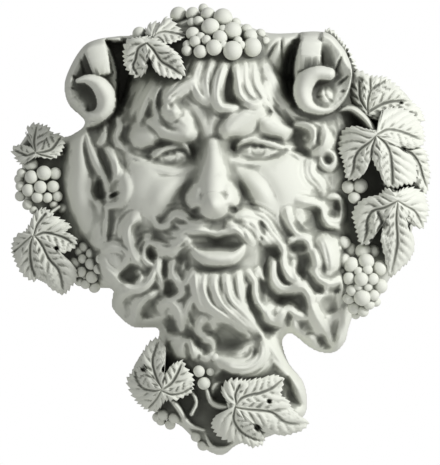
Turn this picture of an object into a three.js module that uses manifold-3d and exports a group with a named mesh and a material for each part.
import * as THREE from "three";
import { mergeVertices } from "three/addons/utils/BufferGeometryUtils.js";
import Module from "manifold-3d";

// A wall plaque cast in one piece: a bearded, ram-horned mask wreathed in vine leaves and grapes.
// All sizes are in millimetres. X runs to the viewer's right and Z runs up.
// The flat back lies in the plane Y = 0, against the wall, and the front faces -Y.
// A point of the relief is given as [x, z, depth], where depth is its distance from the wall.

// Driving dimensions of the casting.
const BORDER_DEPTH = 20; // thickness of the slab at its outline
const HEAD = { x: -5, z: 30, w: 102, h: 128, tilt: 0, rim: BORDER_DEPTH, top: 86 }; // dome of the head
const BACK_REACH = 12; // how far the sculpted blocks reach behind the wall plane before they are cut
const MOST_DEPTH = 150; // further out than anything on the plaque

// The square that the relief is worked out on, and how far a facet may stray from the relief.
const FIELD = { left: -186, bottom: -186, size: 372, cells: 128 };
const CARVED = { left: -124, right: 98, bottom: -108, top: 132 };
const CARVED_ERROR = 7;
const SURROUND_ERROR = 12;

// Leaves.
const LEAF_THICKNESS = 9;
const LEAF_FOOT_DEPTH = BORDER_DEPTH - 6; // where the underside of a leaf comes down into the slab
const LEAF_SWELL = 4; // how far a blade swells between its veins
const VEIN_REACH = 9; // distance from a vein at which the swelling is full
const LEAF_SHOULDER = 0.58; // where the inner ring of a blade lies, from its stalk to its margin

// Locks and hollows.
const LOCK_ROOT = 0.75; // half width of a lock at its root, over its widest
const LOCK_TIP = 0.6;
const HOLLOW_REACH = 1.2; // a hollow runs out this far beyond its half width

const GRAPE_SEAT = 2; // how far the middle of a grape lies under the surface of its bunch
const LID_RADIUS = 2.6;
const COURSE_STEPS = 10; // straight runs that a lock, hollow or vein is measured along
const TURN = 2 * Math.PI;

const STONE = new THREE.MeshStandardMaterial({ color: 0xb4b7ae, roughness: 0.82, metalness: 0 });

const wasm = await Module();
wasm.setup();

// Relief coordinates to the frame of the part.
const at = (x, z, depth) => new THREE.Vector3(x, -depth, z);
const mix = THREE.MathUtils.lerp;
const FRONT = new THREE.Vector3(0, -1, 0);

// A value that runs evenly through a list as t goes from 0 to 1.
function runThrough(values, t) {
  const span = t * (values.length - 1);
  const i = Math.min(Math.floor(span), values.length - 2);
  return mix(values[i], values[i + 1], span - i);
}

// A closed three.js geometry as a solid.
function solid(geometry) {
  geometry.deleteAttribute("normal");
  geometry.deleteAttribute("uv");
  const merged = mergeVertices(geometry, 1e-3);
  return new wasm.Manifold(
    new wasm.Mesh({
      numProp: 3,
      vertProperties: merged.attributes.position.array,
      triVerts: new Uint32Array(merged.index.array),
    }),
  );
}

// Moves every vertex of a geometry to the place that a function gives it.
function warp(geometry, place) {
  const positions = geometry.attributes.position;
  const point = new THREE.Vector3();
  for (let i = 0; i < positions.count; i++) {
    const moved = place(point.fromBufferAttribute(positions, i));
    positions.setXYZ(i, moved.x, moved.y, moved.z);
  }
  return geometry;
}

// A smooth course through points [x, z], with its half width at every step.
function courseOf(points, widths) {
  const curve = new THREE.CatmullRomCurve3(points.map(([x, z]) => new THREE.Vector3(x, z, 0)));
  return curve.getPoints(COURSE_STEPS).map((p, i) => ({
    x: p.x,
    z: p.y,
    width: runThrough(widths, i / COURSE_STEPS),
  }));
}

// How far a place lies off a course, over the half width there: 0 on it and 1 at its edge.
function offCourse(course, x, z) {
  let least = Infinity;
  for (let i = 0; i < COURSE_STEPS; i++) {
    const [a, b] = [course[i], course[i + 1]];
    const [runX, runZ] = [b.x - a.x, b.z - a.z];
    const share = ((x - a.x) * runX + (z - a.z) * runZ) / (runX ** 2 + runZ ** 2);
    const near = THREE.MathUtils.clamp(share, 0, 1);
    const offset = Math.hypot(x - a.x - near * runX, z - a.z - near * runZ);
    least = Math.min(least, offset / mix(a.width, b.width, near));
  }
  return least;
}

// The outline of the slab, a closed curve through its corners, set in a little behind the leaves.
const OUTLINE = [
  [-10, 178], [20, 167], [44, 160], [84, 161], [100, 148], [112, 130], [146, 116], [160, 92],
  [163, 40], [158, 8], [150, -16], [137, -40], [123, -62], [110, -66], [105, -78], [102, -89],
  [95, -97], [84, -98], [74, -94], [64, -86], [57, -82], [51, -89], [56, -106], [68, -122],
  [71, -140], [66, -152], [40, -166], [16, -172], [2, -181], [-14, -174], [-30, -158], [-44, -151],
  [-62, -138], [-71, -118], [-62, -98], [-50, -88], [-50, -78], [-70, -77], [-86, -62], [-86, -47],
  [-102, -45], [-116, -41], [-126, -45], [-148, -38], [-163, -20], [-161, -6], [-146, 8],
  [-156, 22], [-162, 34], [-159, 52], [-163, 66], [-148, 85], [-132, 78], [-122, 77], [-108, 88],
  [-122, 104], [-124, 122], [-112, 146], [-98, 155], [-66, 160], [-40, 169],
];

// The rounded masses that the head and beard are built from. Each is a mound over an ellipse:
// its centre, its half width and half height, its tilt in degrees, and its depth at rim and middle.
const MASSES = [
  { name: "forehead", x: -3, z: 96, w: 66, h: 50, tilt: 0, rim: 40, top: 92 },
  { name: "left cheek", x: -46, z: 30, w: 36, h: 36, tilt: 0, rim: 50, top: 86 },
  { name: "right cheek", x: 40, z: 32, w: 38, h: 38, tilt: 0, rim: 50, top: 87 },
  { name: "muzzle", x: -2, z: 2, w: 46, h: 32, tilt: 0, rim: 60, top: 97 },
  { name: "left jaw", x: -62, z: -22, w: 40, h: 52, tilt: 20, rim: 28, top: 74 },
  { name: "right jaw", x: 66, z: -28, w: 42, h: 66, tilt: -12, rim: 28, top: 74 },
  { name: "chin", x: 2, z: -42, w: 52, h: 50, tilt: 0, rim: 40, top: 90 },
  { name: "lower beard", x: 6, z: -88, w: 54, h: 50, tilt: 0, rim: 24, top: 68 },
  { name: "beard tip", x: 4, z: -132, w: 70, h: 50, tilt: 0, rim: 20, top: 50 },
  { name: "left temple", x: -88, z: 62, w: 34, h: 40, tilt: 0, rim: 30, top: 58 },
  { name: "ear", x: -106, z: 38, w: 20, h: 52, tilt: -6, rim: 30, top: 48 },
  { name: "right temple", x: 78, z: 70, w: 34, h: 60, tilt: 0, rim: 36, top: 70 },
  { name: "root of the right horn", x: 49, z: 142, w: 19, h: 24, tilt: 0, rim: 44, top: 68 },
  { name: "vine on the right", x: 126, z: 40, w: 46, h: 92, tilt: 0, rim: 20, top: 46 },
  { name: "vine on the left", x: -140, z: 34, w: 30, h: 60, tilt: 0, rim: 20, top: 38 },
  { name: "crown", x: -4, z: 146, w: 56, h: 36, tilt: 0, rim: 30, top: 78 },
];

// The finer masses of the face, over the ones above.
const FEATURES = [
  { name: "left brow", x: -36, z: 80, w: 25, h: 12, tilt: -26, rim: 78, top: 98 },
  { name: "left brow hood", x: -60, z: 75, w: 12, h: 10, tilt: 0, rim: 66, top: 85 },
  { name: "right brow", x: 20, z: 88, w: 24, h: 13, tilt: 22, rim: 80, top: 99 },
  { name: "right brow hood", x: 43, z: 82, w: 17, h: 11, tilt: -20, rim: 74, top: 95 },
  { name: "nose bridge", x: -5, z: 52, w: 11, h: 32, tilt: 0, rim: 84, top: 106 },
  { name: "nose", x: -4, z: 30, w: 13, h: 22, tilt: 0, rim: 88, top: 122 },
  { name: "nose tip", x: -4, z: 22, w: 14, h: 13, tilt: 0, rim: 102, top: 129.5 },
  { name: "left nostril wing", x: -18, z: 23, w: 9, h: 10, tilt: 0, rim: 88, top: 108 },
  { name: "right nostril wing", x: 11, z: 25, w: 9, h: 10, tilt: 0, rim: 88, top: 108 },
  { name: "lower lip", x: 0, z: -17, w: 22, h: 9, tilt: 0, rim: 90, top: 104 },
];

// The sunk places of the face: centre, half sizes and the depth of their floor.
const SOCKETS = [
  { name: "left eye socket", x: -37, z: 61, w: 22, h: 12, floor: 76 },
  { name: "right eye socket", x: 31, z: 65, w: 22, h: 11, floor: 77 },
  { name: "mouth", x: -2, z: -8, w: 23, h: 6, floor: 84 },
];

// The eyes, each a ball [x, z, depth, radius] between two lids, which are folds through points [x, z].
const EYES = [
  { ball: [-37, 60, 67, 13], lids: [[[-54, 58], [-38, 67], [-22, 62]], [[-52, 57], [-38, 53], [-25, 57]]] },
  { ball: [32, 65, 68, 13], lids: [[[13, 66], [30, 72], [52, 66]], [[14, 63], [30, 59], [51, 64]]] },
];

// The locks of hair, moustache and beard. Each is a crest along its points [x, z], with its half
// width and its height over the surface that it lies on.
const LOCKS = [
  // hair over the forehead and down the temples
  { width: 6, height: 7, points: [[-14, 138], [-19, 122], [-17, 110], [-9, 101]] },
  { width: 5, height: 7, points: [[-4, 138], [-10, 121], [-9, 108], [-6, 100]] },
  { width: 6, height: 11, points: [[6, 136], [0, 121], [-2, 108], [1, 99], [8, 98], [15, 101]] },
  { width: 6, height: 10, points: [[14, 136], [14, 120], [17, 108], [25, 102], [34, 102]] },
  { width: 5, height: 8, points: [[20, 136], [21, 120], [26, 109], [34, 104]] },
  { width: 5, height: 7, points: [[27, 136], [29, 120], [35, 108], [39, 98]] },
  { width: 10, height: 8, points: [[34, 138], [46, 122], [56, 106], [70, 95], [84, 91]] },
  { width: 5, height: 9, points: [[57, 85], [67, 86], [75, 81], [76, 73], [70, 67]] },
  { width: 8, height: 8, points: [[82, 88], [85, 76], [82, 67], [75, 62]] },
  { width: 9, height: 10, points: [[-16, 121], [-30, 115], [-40, 108], [-45, 101]] },
  { width: 6, height: 9, points: [[-44, 101], [-42, 95], [-36, 94], [-35, 99]] },
  { width: 5, height: 7, points: [[-44, 119], [-51, 108], [-51, 96], [-44, 87]] },
  { width: 6, height: 7, points: [[-50, 122], [-58, 108], [-62, 96], [-65, 86]] },
  { width: 7, height: 7, points: [[-68, 120], [-76, 105], [-81, 94], [-82, 84]] },
  // moustache
  { width: 5, height: 7, points: [[-6, 7], [-20, 7], [-28, 12], [-35, 13], [-41, 6], [-47, 4], [-52, 10]] },
  { width: 8, height: 9, points: [[-24, -2], [-32, -11], [-40, -15], [-49, -12], [-57, -8]] },
  { width: 6, height: 8, points: [[8, 10], [22, 14], [34, 9], [42, -2], [50, -13], [52, -24]] },
  { width: 5, height: 7, points: [[4, 6], [14, 5], [21, -2], [27, -9]] },
  { width: 6, height: 8, points: [[16, 10], [26, 6], [33, -2], [40, -9], [46, -12]] },
  // beard
  { width: 7, height: 10, points: [[-62, 12], [-70, 8], [-73, 0], [-70, -12], [-66, -22], [-60, -29]] },
  { width: 5, height: 7, points: [[-96, -16], [-87, -11], [-78, -13], [-73, -20], [-76, -30]] },
  { width: 5, height: 7, points: [[-95, -18], [-91, -30], [-82, -38], [-77, -44]] },
  { width: 5, height: 8, points: [[-80, -38], [-72, -46], [-61, -45], [-53, -36], [-51, -26]] },
  { width: 5, height: 7, points: [[-35, -20], [-38, -31], [-33, -41], [-30, -48], [-36, -53], [-44, -54]] },
  { width: 6, height: 10, points: [[-71, -78], [-67, -69], [-64, -59], [-56, -52], [-48, -47]] },
  { width: 6, height: 8, points: [[-84, -70], [-83, -58], [-77, -50], [-66, -47]] },
  { width: 7, height: 11, points: [[-49, -63], [-42, -57], [-34, -61], [-30, -70], [-31, -80]] },
  { width: 5, height: 7, points: [[-30, -83], [-38, -84], [-42, -92], [-40, -100]] },
  { width: 5, height: 8, points: [[-12, -66], [-17, -77], [-13, -84], [-6, -86], [-3, -94]] },
  { width: 5, height: 8, points: [[-18, -30], [-19, -44], [-16, -56], [-10, -64]] },
  { width: 6, height: 9, points: [[-11, -31], [-13, -45], [-8, -58], [4, -67], [18, -76], [28, -86]] },
  { width: 6, height: 9, points: [[-3, -31], [-4, -44], [2, -57], [14, -68], [26, -79], [33, -90]] },
  { width: 6, height: 8, points: [[5, -30], [6, -42], [10, -54], [20, -64], [30, -76], [37, -88]] },
  { width: 5, height: 7, points: [[14, -30], [16, -42], [18, -54], [25, -66]] },
  { width: 9, height: 13, points: [[31, -84], [35, -93], [33, -102], [24, -108], [12, -108], [0, -103]] },
  { width: 7, height: 8, points: [[38, -84], [43, -95], [50, -106], [60, -116], [67, -130]] },
  { width: 7, height: 9, points: [
    [38, -60], [38, -68], [44, -73], [50, -68], [54, -61], [60, -65], [68, -69] ] },
  { width: 6, height: 10, points: [
    [43, -18], [42, -34], [47, -44], [56, -47], [66, -44], [72, -52], [73, -62] ] },
  { width: 5, height: 8, points: [[51, -16], [52, -28], [58, -38], [67, -41]] },
  { width: 5, height: 8, points: [[54, -9], [62, -6], [71, -9], [72, -16]] },
  { width: 6, height: 10, points: [
    [74, -12], [77, -24], [75, -32], [80, -39], [90, -42], [98, -39], [99, -50], [96, -62] ] },
  { width: 8, height: 8, points: [[80, -2], [86, -12], [90, -24], [88, -36]] },
  { width: 5, height: 9, points: [[60, 24], [72, 23], [82, 20], [84, 11], [88, 5], [96, 4]] },
  { width: 5, height: 7, points: [[54, 20], [56, 8], [62, -2], [74, -5]] },
  { width: 6, height: 9, points: [[74, -56], [77, -68], [84, -80], [92, -92]] },
  { width: 6, height: 8, points: [[98, -58], [100, -72], [98, -86], [92, -95]] },
  // flap and folds of the ear
  { width: 10, height: 11, points: [
    [-110, 84], [-115, 72], [-115, 52], [-113, 34], [-106, 14], [-101, -5] ] },
  { width: 7, height: 8, points: [[-98, 24], [-97, 10], [-99, -4]] },
  { width: 5, height: 7, points: [[-91, 66], [-86, 54], [-82, 44], [-80, 34], [-84, 23], [-92, 20]] },
];

// The hollows among the locks and in the ear, scooped out along their points [x, z]: half widths
// along the course, and depth.
const HOLLOWS = [
  { widths: [2, 4, 5, 3], depth: 15, points: [[10, 128], [9, 116], [9, 107], [18, 102]] },
  { widths: [4, 6, 4, 2.5], depth: 13, points: [[68, 78], [64, 76], [64, 68], [72, 61]] },
  { widths: [4, 4], depth: 8, points: [[86, 57], [88, 57]] },
  { widths: [3, 4, 2], depth: 8, points: [[-72, 84], [-74, 76], [-70, 70]] },
  { widths: [4, 4.5, 2.5], depth: 10, points: [[-54, -13], [-54, -17], [-52, -20]] },
  { widths: [3, 4, 3], depth: 9, points: [[-27, -8], [-29, -16], [-30, -24]] },
  { widths: [7, 9, 8], depth: 16, points: [[-73, -30], [-70, -34], [-68, -38]] },
  { widths: [4, 6, 5], depth: 11, points: [[-38, -40], [-38, -45], [-39, -50]] },
  { widths: [4, 6, 4], depth: 9, points: [[-74, -54], [-76, -64], [-75, -72]] },
  { widths: [5, 7, 5], depth: 11, points: [[-51, -56], [-56, -61], [-60, -70]] },
  { widths: [4, 7, 6], depth: 15, points: [[-38, -69], [-39, -75], [-42, -80]] },
  { widths: [3, 4.5, 4, 3], depth: 14, points: [[-24, -64], [-22, -76], [-16, -86], [-9, -99]] },
  { widths: [3, 5, 3], depth: 10, points: [[-9, -74], [-10, -80], [-6, -81]] },
  { widths: [9, 15, 14, 9], depth: 22, points: [[-4, -76], [4, -84], [8, -90], [10, -97]] },
  { widths: [4, 7, 5], depth: 10, points: [[4, -112], [5, -116], [2, -124]] },
  { widths: [2, 4, 4, 4, 3], depth: 15, points: [[26, -40], [24, -52], [29, -65], [37, -76], [50, -77]] },
  { widths: [3, 4, 4, 5, 5, 4], depth: 16, points: [
    [33, -12], [37, -24], [37, -42], [46, -52], [60, -52], [71, -60] ] },
  { widths: [4, 7, 6], depth: 9, points: [[46, -57], [58, -57], [68, -62]] },
  { widths: [4, 6, 4], depth: 12, points: [[38, -12], [42, -16], [46, -21]] },
  { widths: [4, 6, 4], depth: 11, points: [[57, -13], [63, -12], [69, -12]] },
  { widths: [5, 8, 5], depth: 14, points: [[70, -19], [67, -26], [67, -36]] },
  { widths: [3, 4.5, 4], depth: 15, points: [[71, -34], [77, -41], [82, -48]] },
  { widths: [3, 4, 2], depth: 9, points: [[88, -47], [92, -46], [96, -47]] },
  { widths: [6, 8, 6, 4, 3], depth: 12, points: [[68, 17], [75, 14], [79, 5], [87, 0], [98, -3]] },
  { widths: [5, 6, 4], depth: 11, points: [[86, -52], [88, -58], [89, -66]] },
  { widths: [4, 7, 5], depth: 14, points: [[66, -72], [69, -78], [70, -86]] },
  { widths: [5, 7, 5], depth: 14, points: [[80, -84], [84, -90], [86, -97]] },
  { widths: [3, 5, 4], depth: 9, points: [[55, -66], [56, -72], [56, -80]] },
  { widths: [2, 4, 3], depth: 10, points: [[56, -128], [60, -136], [68, -141]] },
  // openings of the ear
  { widths: [3, 6, 3], depth: 15, points: [[-97, 42], [-96, 33], [-94, 23]] },
  { widths: [5, 5], depth: 14, points: [[-86, 32], [-84, 29]] },
  { widths: [3, 4, 5, 3], depth: 8, points: [[-98, 68], [-95, 60], [-91, 52], [-88, 44]] },
  { widths: [2, 4, 4, 3], depth: 8, points: [[-108, 72], [-106, 62], [-103, 50], [-98, 42]] },
  // gaps between the horns and the head
  { widths: [7, 9, 10, 8, 5], depth: 40, points: [
    [-84, 152], [-82, 140], [-79, 124], [-79, 110], [-80, 98] ] },
  { widths: [4, 7, 8, 7, 4], depth: 38, points: [[61, 150], [57, 138], [55, 124], [56, 112], [60, 102]] },
];

// The horns. Seen from the front, a horn curls round a cup. Its square root
// crosses the cup from above, and its smooth tip comes round in front. Bars are given through
// points [x, z, depth] with their half widths.
const HORNS = [
  {
    name: "left horn",
    cup: { x: -103, z: 120.5, w: 22, h: 36.5, floor: 62, rim: 82 },
    root: {
      points: [[-100.5, 151, 64], [-99, 145, 74], [-96, 137, 79], [-93, 122, 76]],
      radii: [8.4, 8.8, 8.2, 7],
    },
    tip: {
      points: [
        [-112, 96, 76], [-104, 92, 79], [-95, 93, 82], [-90, 100, 84], [-90.5, 109, 87], [-96, 117, 88],
        [-104, 120.5, 88], [-112, 119.5, 88],
      ],
      radii: [2.5, 4, 6, 7.5, 8, 7, 4.8, 2.2],
    },
  },
  {
    name: "right horn",
    cup: { x: 83, z: 128, w: 23.5, h: 33.5, floor: 62, rim: 82 },
    root: {
      points: [[74, 158, 58], [73.5, 151, 69], [72.5, 144, 79], [71.5, 126, 75]],
      radii: [8, 8.6, 9, 8.8],
    },
    tip: {
      points: [
        [94, 101, 76], [88, 97, 80], [79, 96.5, 82], [70, 101, 84], [66.5, 110, 85], [69, 119.5, 87],
        [77, 125.5, 88], [87, 125, 88],
      ],
      radii: [2.5, 3.5, 4.5, 7, 8, 8, 6.5, 5.5],
    },
  },
];
const TIP_HUB = { x: 83, z: 108, w: 8.5, h: 9.5, tilt: 0, rim: 74, top: 87 }; // knob inside the right tip

// The vine stems, round bars through points [x, z, depth].
const STEMS = [
  { radii: [3, 3, 2.5, 2.5], points: [[90, 94, 59], [104, 98, 63], [116, 90, 69.5], [125, 76, 77.5]] },
  { radii: [3, 3, 3, 2.5], points: [[-42, -129, 51], [-32, -142, 49], [-24, -154, 47], [-12, -159, 41.5]] },
  { radii: [2.5, 3, 3, 3], points: [[-10, -126, 53.5], [-6, -136, 55], [2, -140, 59], [13, -140, 63]] },
  { radii: [2.5, 3, 3, 2.5], points: [[-12, -160, 37.5], [-6, -172, 39], [4, -174, 39], [14, -170, 37.5]] },
];

// The vine leaves. A blade spreads from its stalk point to its margin, both [x, z, depth], and is
// folded down along its veins, which run through points [x, z].
const LEAVES = [
  { name: "crown leaf", from: [-58, 149, 86], margin: [
    [-57, 156, 80], [-74, 153, 77], [-77, 147, 76], [-75, 129, 79], [-70, 123, 82], [-59, 124, 86],
    [-55.5, 137, 90], [-45, 122, 92], [-30, 120, 91], [-26, 124, 90], [-30, 139, 88] ],
    veins: [
      [[-58, 149], [-64, 145], [-66, 137], [-68, 131], [-65, 125]],
      [[-57, 149], [-52, 144], [-46, 135], [-38, 130], [-28, 123]],
    ] },
  { name: "upper crown leaf", from: [-52, 154, 78], margin: [
    [-60, 158, 58], [-58, 165, 54], [-43, 172, 54], [-24, 156, 72], [-40, 148, 82], [-48, 149, 82] ],
    veins: [
      [[-54, 153], [-50, 157], [-44, 159], [-36, 158], [-28, 156]],
      [[-53, 155], [-52, 161], [-49, 167]],
    ] },
  { name: "leaf above left grapes", from: [-147, 64, 50], margin: [
    [-168, 66, 38], [-158, 53, 42], [-145, 59, 48], [-131, 58, 48], [-123, 69, 44], [-127, 79, 44],
    [-149, 88, 36], [-156, 82, 38], [-150, 71, 44] ],
    veins: [
      [[-147, 64], [-148, 72], [-147, 80], [-146, 86]],
      [[-146, 63], [-139, 64], [-133, 67], [-126, 77]],
      [[-148, 63], [-154, 61], [-159, 63], [-165, 66]],
      [[-146, 63], [-141, 61], [-134, 59]],
    ] },
  { name: "leaf below left grapes", from: [-148, -3, 54], margin: [
    [-139, 20, 48], [-122, 9, 50], [-117, 4, 50], [-121, 0, 50], [-113, -5, 49], [-114, -13, 49],
    [-124, -19, 50], [-115, -28, 46], [-113, -38, 44], [-125, -52, 40], [-143, -38, 44],
    [-149, -41, 40], [-157, -37, 38], [-167, -18, 38], [-163, -2, 40], [-156, 1, 44], [-147, 17, 46] ],
    veins: [
      [[-148, -3], [-142, -10], [-136, -22], [-129, -30], [-126, -40], [-125, -51]],
      [[-149, -4], [-151, -14], [-150, -28], [-146, -38]],
      [[-148, -4], [-138, -1], [-122, -6], [-115, -13]],
      [[-148, -3], [-145, 6], [-139, 14]],
      [[-150, -4], [-157, -10], [-164, -16]],
    ] },
  { name: "upper right leaf", from: [119, 93, 56], margin: [
    [104, 112, 40], [107, 129, 38], [113, 131, 38], [120, 127, 42], [140, 121, 40], [164, 96, 38],
    [166, 89, 40], [155, 88, 46], [128, 88, 56], [110, 95, 48] ],
    veins: [
      [[119, 94], [119, 104], [121, 113], [121, 123]],
      [[120, 112], [127, 117], [136, 122]],
      [[118, 97], [113, 107], [112, 120]],
      [[120, 96], [134, 103], [150, 105]],
    ] },
  { name: "leaf behind right horn", from: [92, 130, 38], margin: [
    [90, 164, 36], [107, 143, 36], [113, 122, 38], [109, 108, 42], [98, 100, 44], [86, 106, 44],
    [78, 130, 44], [84, 160, 40] ],
    veins: [
      [[94, 132], [103, 140], [101, 151]],
      [[94, 128], [106, 124], [111, 118]],
    ] },
  { name: "outer right leaf", from: [146, 64, 62], margin: [
    [146, 72, 58], [167, 64, 46], [170, 43, 46], [165, 28, 46], [148, 40, 56], [142, 52, 60] ],
    veins: [
      [[146, 65], [154, 62], [160, 54], [163, 44], [168, 31]],
    ] },
  { name: "great right leaf", from: [125, 76, 82], margin: [
    [94, 72, 65], [100, 42, 69], [110, 41, 71], [121, 57, 78], [131, 38, 72], [141, 33, 68],
    [159, 42, 58], [158, 55, 60], [146.5, 66, 70], [156, 65.5, 60], [166, 72, 54], [161, 90, 51],
    [145, 100, 56], [130, 97, 68], [126.5, 82, 79], [100, 83, 67] ],
    veins: [
      [[125, 76], [120, 71], [112, 65], [108, 58], [107, 50], [103, 41]],
      [[125, 76], [132, 70], [136, 62], [137.5, 50], [138, 37]],
      [[126, 77], [134, 81], [143, 80], [152, 77], [165, 72]],
      [[124, 74], [121.5, 66], [121, 60]],
    ] },
  { name: "lower right leaf", from: [142, 24, 78], margin: [
    [133, 36, 71], [112, 25, 64], [105, 12, 63], [112, -11, 64], [120, -10.5, 67], [129, 3, 72],
    [136, -38, 54], [154, -22, 52], [157, -13, 52], [152.5, 4, 60], [163, 1, 50], [169, 16, 48],
    [165, 31, 52], [157, 36, 57], [139, 32, 74] ],
    veins: [
      [[142, 24], [141, 10], [142, -8], [140, -22], [137, -36]],
      [[142, 24], [132, 19], [122, 16], [118, 8], [118, 0], [115, -10]],
      [[142, 24], [149, 20], [156, 16], [161, 8], [163, 3]],
      [[126, 16], [129, 10], [131, 3]],
    ] },
  { name: "left leaf of tip", from: [-45, -126, 66], margin: [
    [-19, -121, 60], [-20, -128, 58], [-32, -135, 58], [-56, -145, 44], [-70, -133, 44],
    [-75, -119, 45], [-66, -107, 49], [-59, -109.5, 58], [-63, -101, 51], [-51, -84, 53],
    [-43, -90, 56], [-43, -111, 61], [-28, -102, 62] ],
    veins: [
      [[-45, -126], [-50, -116], [-53, -104], [-51, -95], [-48, -87]],
      [[-45, -126], [-52, -127], [-61, -125], [-66, -118], [-67, -110]],
      [[-45, -126], [-38, -121], [-33, -113], [-29, -103]],
      [[-45, -127], [-38, -130], [-30, -129], [-22, -125]],
      [[-46, -127], [-50, -134], [-56, -141]],
    ] },
  { name: "right leaf of tip", from: [13, -139, 70], margin: [
    [44, -114, 59], [52, -116, 57], [51, -130, 58], [73, -153, 47], [54, -164, 47], [38, -162, 51],
    [31, -157, 58], [37, -165, 49], [36, -171, 46], [28, -174, 46], [4, -168, 51], [-7, -156, 55],
    [-5, -149, 57], [6, -142, 64], [1, -128, 61], [7, -117, 61] ],
    veins: [
      [[13, -139], [18, -133], [26, -130], [32, -129], [42, -125], [50, -119]],
      [[13, -140], [24, -142], [34, -143], [43, -145], [52, -152], [62, -154], [72, -154]],
      [[13, -140], [12, -150], [18, -160], [28, -166], [36, -168]],
      [[14, -138], [13, -130], [16, -123]],
    ] },
];

// The bunches of grapes. The grapes of a bunch lie on a core, a mound over an ellipse, and each
// is its place and radius [x, z, r].
const BUNCHES = [
  { core: { x: -4, z: 136, w: 56, h: 48, tilt: 0, rim: 20, top: 84 }, grapes: [
    [-32.4, 173.2, 6.4], [-21.2, 174, 5], [-12.4, 178.8, 4.8], [-8.8, 173.2, 5.4], [4, 169.2, 8.8],
    [-16.4, 167.6, 4], [-6.8, 162.4, 6.8], [10.8, 159.6, 6.6], [-20.8, 157.2, 5.2], [-18.8, 150.8, 4.4],
    [-10, 152, 3.6], [0.8, 154, 5.6], [-4, 146, 6], [-25.6, 143.6, 4], [-14.8, 142.8, 5.1],
    [10.8, 143.6, 7.8], [14.8, 151.6, 3.4], [22, 160.8, 4.4], [24.8, 155.6, 5.4], [26.4, 146.8, 7],
    [33.2, 158, 3.8], [36.8, 151.6, 3.7] ] },
  { core: { x: -70, z: 150, w: 22, h: 22, tilt: 0, rim: 30, top: 60 }, grapes: [[-63.6, 158, 5.2]] },
  { core: { x: -143, z: 36, w: 24, h: 30, tilt: 0, rim: 22, top: 44 }, grapes: [
    [-150.8, 54, 5.2], [-140.4, 46.8, 5.6], [-131.6, 46.4, 4.6], [-150.4, 43.6, 5.2], [-158.4, 46.8, 3.8],
    [-143.2, 35.6, 4.8], [-133.2, 36, 4.8], [-152.8, 33.2, 4.8], [-159.2, 36.4, 3.8], [-159.6, 28.4, 4],
    [-145.6, 27.6, 4.4], [-137.6, 27.2, 3.8], [-130, 28.4, 4.4], [-153.6, 21.6, 4], [-132.4, 21.6, 3.4],
    [-125.6, 18.8, 4.6], [-148.8, 17.2, 3.2] ] },
  { core: { x: -105, z: -28, w: 17, h: 24, tilt: 0, rim: 24, top: 42 }, grapes: [
    [-108, -12.4, 4.4], [-102.4, -18, 4.4], [-116.4, -26, 4.6], [-109.6, -22, 3.4], [-102.4, -26, 4.8],
    [-96.4, -30, 3.8], [-110.4, -32.4, 4], [-102, -36.4, 4.8], [-107.2, -42, 3.8], [-100, -44.4, 4.4] ] },
  { core: { x: 108, z: 33, w: 14, h: 14, tilt: 0, rim: 40, top: 60 }, grapes: [
    [103.2, 35.6, 5], [112.8, 36.4, 5.6], [108, 27.2, 4.6] ] },
  { core: { x: 115, z: -38, w: 25, h: 38, tilt: 8, rim: 24, top: 62 }, grapes: [
    [99.2, -9.2, 5.6], [104, -14.8, 5.6], [115.2, -15.6, 5.8], [123.2, -15.6, 4.8], [99.2, -22.8, 5.8],
    [105.6, -26.8, 5.9], [117.6, -23.6, 6.1], [118.4, -30.8, 4], [128, -29.2, 5.9], [104, -37.2, 5.2],
    [113.6, -38, 5.4], [122.4, -38, 4.6], [128.8, -43.6, 5.6], [106.4, -46.8, 4.4], [114.4, -52.4, 6.4],
    [104, -53.2, 4.8], [123.2, -50.8, 4.4], [120, -58, 4.2], [108, -61.2, 4.8], [115.2, -63.6, 4.4],
    [109.6, -66.8, 3.2] ] },
  { core: { x: -16, z: -114, w: 26, h: 24, tilt: 0, rim: 30, top: 60 }, grapes: [
    [-16, -111.6, 4.5], [-12, -121.2, 4.8], [-6.8, -111.6, 3.4], [-3.2, -100.4, 3.4] ] },
  { core: { x: -36, z: -146, w: 26, h: 20, tilt: 40, rim: 20, top: 38 }, grapes: [
    [-44.4, -146.8, 4.6], [-35.6, -149.2, 4.4], [-49.6, -149.2, 3.8], [-39.2, -154.8, 4],
    [-18.4, -164.4, 4], [-12.8, -171.6, 4.4] ] },
];

function moundDepth({ x, z, w, h, tilt, rim, top }, px, pz) {
  const turn = THREE.MathUtils.degToRad(tilt);
  const dx = (px - x) * Math.cos(turn) + (pz - z) * Math.sin(turn);
  const dz = (pz - z) * Math.cos(turn) - (px - x) * Math.sin(turn);
  const inside = 1 - (dx / w) ** 2 - (dz / h) ** 2;
  return inside > 0 ? rim + (top - rim) * Math.sqrt(inside) : -BACK_REACH;
}

// Depth of the head and beard without the features of the face.
function bodyDepth(x, z) {
  const mounds = [HEAD, ...MASSES, ...BUNCHES.map(({ core }) => core)];
  return Math.max(BORDER_DEPTH, ...mounds.map((mound) => moundDepth(mound, x, z)));
}

// Depth of the face, with its sockets and mouth sunk and its brows, nose and lip raised.
function faceDepth(x, z) {
  let depth = bodyDepth(x, z);
  for (const socket of SOCKETS) {
    const inside = 1 - ((x - socket.x) / socket.w) ** 2 - ((z - socket.z) / socket.h) ** 2;
    if (inside > 0) depth = mix(depth, socket.floor, Math.min(1, 2.2 * inside));
  }
  return Math.max(depth, ...FEATURES.map((f) => moundDepth(f, x, z)));
}

const lockCourses = LOCKS.map(({ width, height, points }) => ({
  height,
  course: courseOf(points, [LOCK_ROOT * width, width, width, LOCK_TIP * width]),
}));
const hollowCourses = HOLLOWS.map(({ widths, depth, points }) => ({
  depth,
  course: courseOf(points, widths.map((width) => HOLLOW_REACH * width)),
}));

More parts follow.
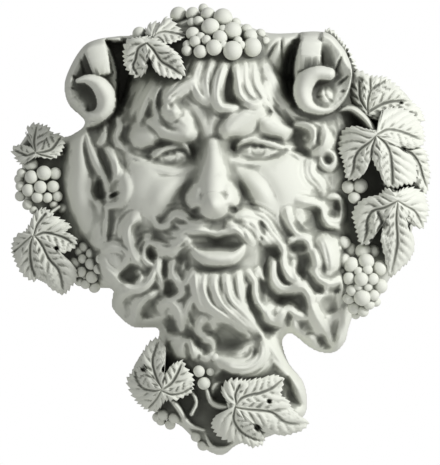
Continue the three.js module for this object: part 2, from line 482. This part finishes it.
// The whole relief but for what stands clear of it: the leaves, grapes, stems, horn bars and eyes.
function reliefDepth(x, z) {
  let rise = 0;
  for (const { height, course } of lockCourses) {
    rise = Math.max(rise, height * (1 - offCourse(course, x, z) ** 2));
  }
  let depth = faceDepth(x, z) + rise;
  for (const { cup } of HORNS) {
    const reach = Math.hypot((x - cup.x) / cup.w, (z - cup.z) / cup.h);
    if (reach < 1) depth = mix(cup.floor, cup.rim, reach ** 2);
  }
  let sunk = 0;
  for (const { depth: most, course } of hollowCourses) {
    sunk = Math.max(sunk, most * (1 - offCourse(course, x, z) ** 2));
  }
  return Math.max(BORDER_DEPTH, moundDepth(TIP_HUB, x, z), depth - sunk);
}

// The front of the relief as a sheet of facets, each as large as the allowed error lets it be.
// A right-angled triangle is split at the middle of its long side, again and again, wherever the
// relief strays from it by more than that. Returns triangles of grid points [column, row].
function facetSheet(heights, allowedAt) {
  const { cells } = FIELD;
  const points = cells + 1;
  const errors = new Float64Array(points * points);
  const middle = (a, b) => [(a[0] + b[0]) / 2, (a[1] + b[1]) / 2];
  const index = ([column, row]) => row * points + column;
  const isSplit = (a, c) => Math.abs(a[0] - c[0]) + Math.abs(a[1] - c[1]) > 1;
  let settled = false;
  const gather = (a, b, c) => {
    if (!isSplit(a, c)) return 0;
    const m = middle(a, b);
    const k = index(m);
    const stray = Math.abs((heights[index(a)] + heights[index(b)]) / 2 - heights[k]) / allowedAt(m);
    const worst = Math.max(stray, gather(c, a, m), gather(b, c, m));
    if (worst > errors[k]) {
      errors[k] = worst;
      settled = false;
    }
    return errors[k];
  };
  const triangles = [];
  const split = (a, b, c) => {
    const m = middle(a, b);
    if (isSplit(a, c) && errors[index(m)] > 1) {
      split(c, a, m);
      split(b, c, m);
    } else {
      triangles.push([a, b, c]);
    }
  };
  const halves = [
    [[0, 0], [cells, cells], [cells, 0]],
    [[cells, cells], [0, 0], [0, cells]],
  ];
  // A neighbour across a long side has to split with its partner, so the errors are gathered again
  // until none of them grows.
  while (!settled) {
    settled = true;
    halves.forEach((half) => gather(...half));
  }
  halves.forEach((half) => split(...half));
  return triangles;
}

// A closed block whose front is the given relief, from behind the wall plane.
function reliefBlock(depthAt) {
  const { left, bottom, size, cells } = FIELD;
  const cell = size / cells;
  const points = cells + 1;
  const heights = new Float32Array(points * points);
  for (let row = 0; row < points; row++) {
    for (let column = 0; column < points; column++) {
      heights[row * points + column] = depthAt(left + column * cell, bottom + row * cell);
    }
  }
  const heightOf = ([column, row]) => heights[row * points + column];
  const allowedAt = ([column, row]) => {
    const x = left + column * cell;
    const z = bottom + row * cell;
    const carved = x > CARVED.left && x < CARVED.right && z > CARVED.bottom && z < CARVED.top;
    return carved ? CARVED_ERROR : SURROUND_ERROR;
  };
  const corners = [];
  const face = (...places) => {
    for (const [[column, row], depth] of places) {
      corners.push(...at(left + column * cell, bottom + row * cell, depth).toArray());
    }
  };
  const centre = [cells / 2, cells / 2];
  const onEdge = (a, b) => [0, 1].some((k) => a[k] === b[k] && (a[k] === 0 || a[k] === cells));
  for (const triangle of facetSheet(heights, allowedAt)) {
    face(...[...triangle].reverse().map((p) => [p, heightOf(p)]));
    for (let i = 0; i < 3; i++) {
      const [a, b] = [triangle[i], triangle[(i + 1) % 3]];
      if (!onEdge(a, b)) continue;
      face([a, heightOf(a)], [b, heightOf(b)], [a, -BACK_REACH]);
      face([b, heightOf(b)], [b, -BACK_REACH], [a, -BACK_REACH]);
      face([a, -BACK_REACH], [b, -BACK_REACH], [centre, -BACK_REACH]);
    }
  }
  const block = new THREE.BufferGeometry();
  block.setAttribute("position", new THREE.Float32BufferAttribute(corners, 3));
  return solid(block);
}

// Everything in front of the wall plane and inside a closed outline.
function outlinePrism(corners) {
  const curve = new THREE.CatmullRomCurve3(corners.map(([x, z]) => new THREE.Vector3(x, z, 0)), true);
  const ring = curve.getPoints(2 * corners.length).slice(0, -1);
  const shape = new THREE.Shape(ring.map((p) => new THREE.Vector2(p.x, p.y)));
  const block = new THREE.ExtrudeGeometry(shape, { depth: MOST_DEPTH, bevelEnabled: false });
  return solid(warp(block, (p) => at(p.x, p.y, p.z)));
}

// A bar bent along a curve through the points [x, z, depth]. Its half width runs through the radii
// given. With four sides it is square, with a flat face to the front.
function bentBar(points, radii, { sides, steps }) {
  const curve = new THREE.CatmullRomCurve3(points.map((p) => at(...p)), false, "centripetal");
  const bar = new THREE.CylinderGeometry(1, 1, 1, sides, steps).rotateY(Math.PI / sides);
  const corner = 1 / Math.cos(Math.PI / sides);
  return solid(
    warp(bar, (p) => {
      const t = p.y + 0.5;
      const tangent = curve.getTangentAt(t);
      const side = new THREE.Vector3().crossVectors(tangent, FRONT).normalize();
      const out = new THREE.Vector3().crossVectors(side, tangent);
      const radius = corner * runThrough(radii, t);
      return curve
        .getPointAt(t)
        .addScaledVector(side, p.x * radius)
        .addScaledVector(out, p.z * radius);
    }),
  );
}

const ball = (x, z, depth, radius, detail) =>
  solid(warp(new THREE.IcosahedronGeometry(radius, detail), (p) => at(x + p.x, z + p.y, depth + p.z)));

// A vine leaf: a disc of two rings about its stalk, with one spoke to each point of its margin. It
// is thick at the margin, and its underside runs back into the slab.
function leaf({ from, margin, veins }) {
  const [x0, z0, depth0] = from;
  const veinCourses = veins.map((points) => courseOf(points, [VEIN_REACH, VEIN_REACH]));
  const spokes = margin.map(([x, z, depth]) => ({
    angle: (Math.atan2(z - z0, x - x0) + TURN) % TURN,
    reach: Math.hypot(z - z0, x - x0),
    depth,
  }));
  spokes.sort((a, b) => a.angle - b.angle);
  const swell = (x, z) => {
    const off = Math.min(1, ...veinCourses.map((course) => offCourse(course, x, z)));
    return LEAF_SWELL * (2 * off - 1);
  };
  const count = spokes.length;
  return solid(
    warp(new THREE.CylinderGeometry(1, 1, 1, count, 2), (p) => {
      const isMiddle = Math.hypot(p.x, p.z) < 0.5;
      if (isMiddle) return at(x0, z0, p.y > 0 ? depth0 - LEAF_SWELL / 2 : LEAF_FOOT_DEPTH);
      const turn = (Math.atan2(-p.z, p.x) + TURN) % TURN;
      const { angle, reach, depth } = spokes[Math.round((turn / TURN) * count) % count];
      const isInner = p.y > 0.25;
      const span = isInner ? LEAF_SHOULDER * reach : reach;
      const x = x0 + span * Math.cos(angle);
      const z = z0 + span * Math.sin(angle);
      if (isInner) return at(x, z, mix(depth0, depth, LEAF_SHOULDER) + swell(x, z));
      const isUnderside = p.y < -0.25;
      return at(x, z, isUnderside ? depth - LEAF_THICKNESS : depth);
    }),
  );
}

const lidPoints = (points) => points.map(([x, z]) => [x, z, faceDepth(x, z) + LID_RADIUS / 2]);

const pieces = [
  ...EYES.map((eye) => ball(...eye.ball, 1)),
  ...EYES.flatMap((eye) => eye.lids).map((lid) =>
    bentBar(lidPoints(lid), [1, LID_RADIUS, 1], { sides: 4, steps: 4 })),
  ...HORNS.map(({ root }) => bentBar(root.points, root.radii, { sides: 4, steps: 4 })),
  ...HORNS.map(({ tip }) => bentBar(tip.points, tip.radii, { sides: 5, steps: 11 })),
  ...STEMS.map(({ points, radii }) => bentBar(points, radii, { sides: 4, steps: 3 })),
  ...LEAVES.map(leaf),
  ...BUNCHES.flatMap(({ grapes }) =>
    grapes.map(([x, z, r]) => ball(x, z, bodyDepth(x, z) - GRAPE_SEAT, r, 0))),
];

let plaque = reliefBlock(reliefDepth).intersect(outlinePrism(OUTLINE));
for (const piece of pieces) plaque = plaque.add(piece);

// A pocket sealed in behind a leaf is solid in the casting, so its skin is left out.
const casting = wasm.Manifold.compose(plaque.decompose().filter((body) => body.volume() > 0));

const { vertProperties, triVerts } = casting.getMesh();
const geometry = new THREE.BufferGeometry();
geometry.setAttribute("position", new THREE.BufferAttribute(vertProperties, 3));
geometry.setIndex(new THREE.BufferAttribute(triVerts, 1));
geometry.computeVertexNormals();
const mask = new THREE.Mesh(geometry, STONE);
mask.name = "mask_plaque";

const part = new THREE.Group();
part.add(mask);
export default part;
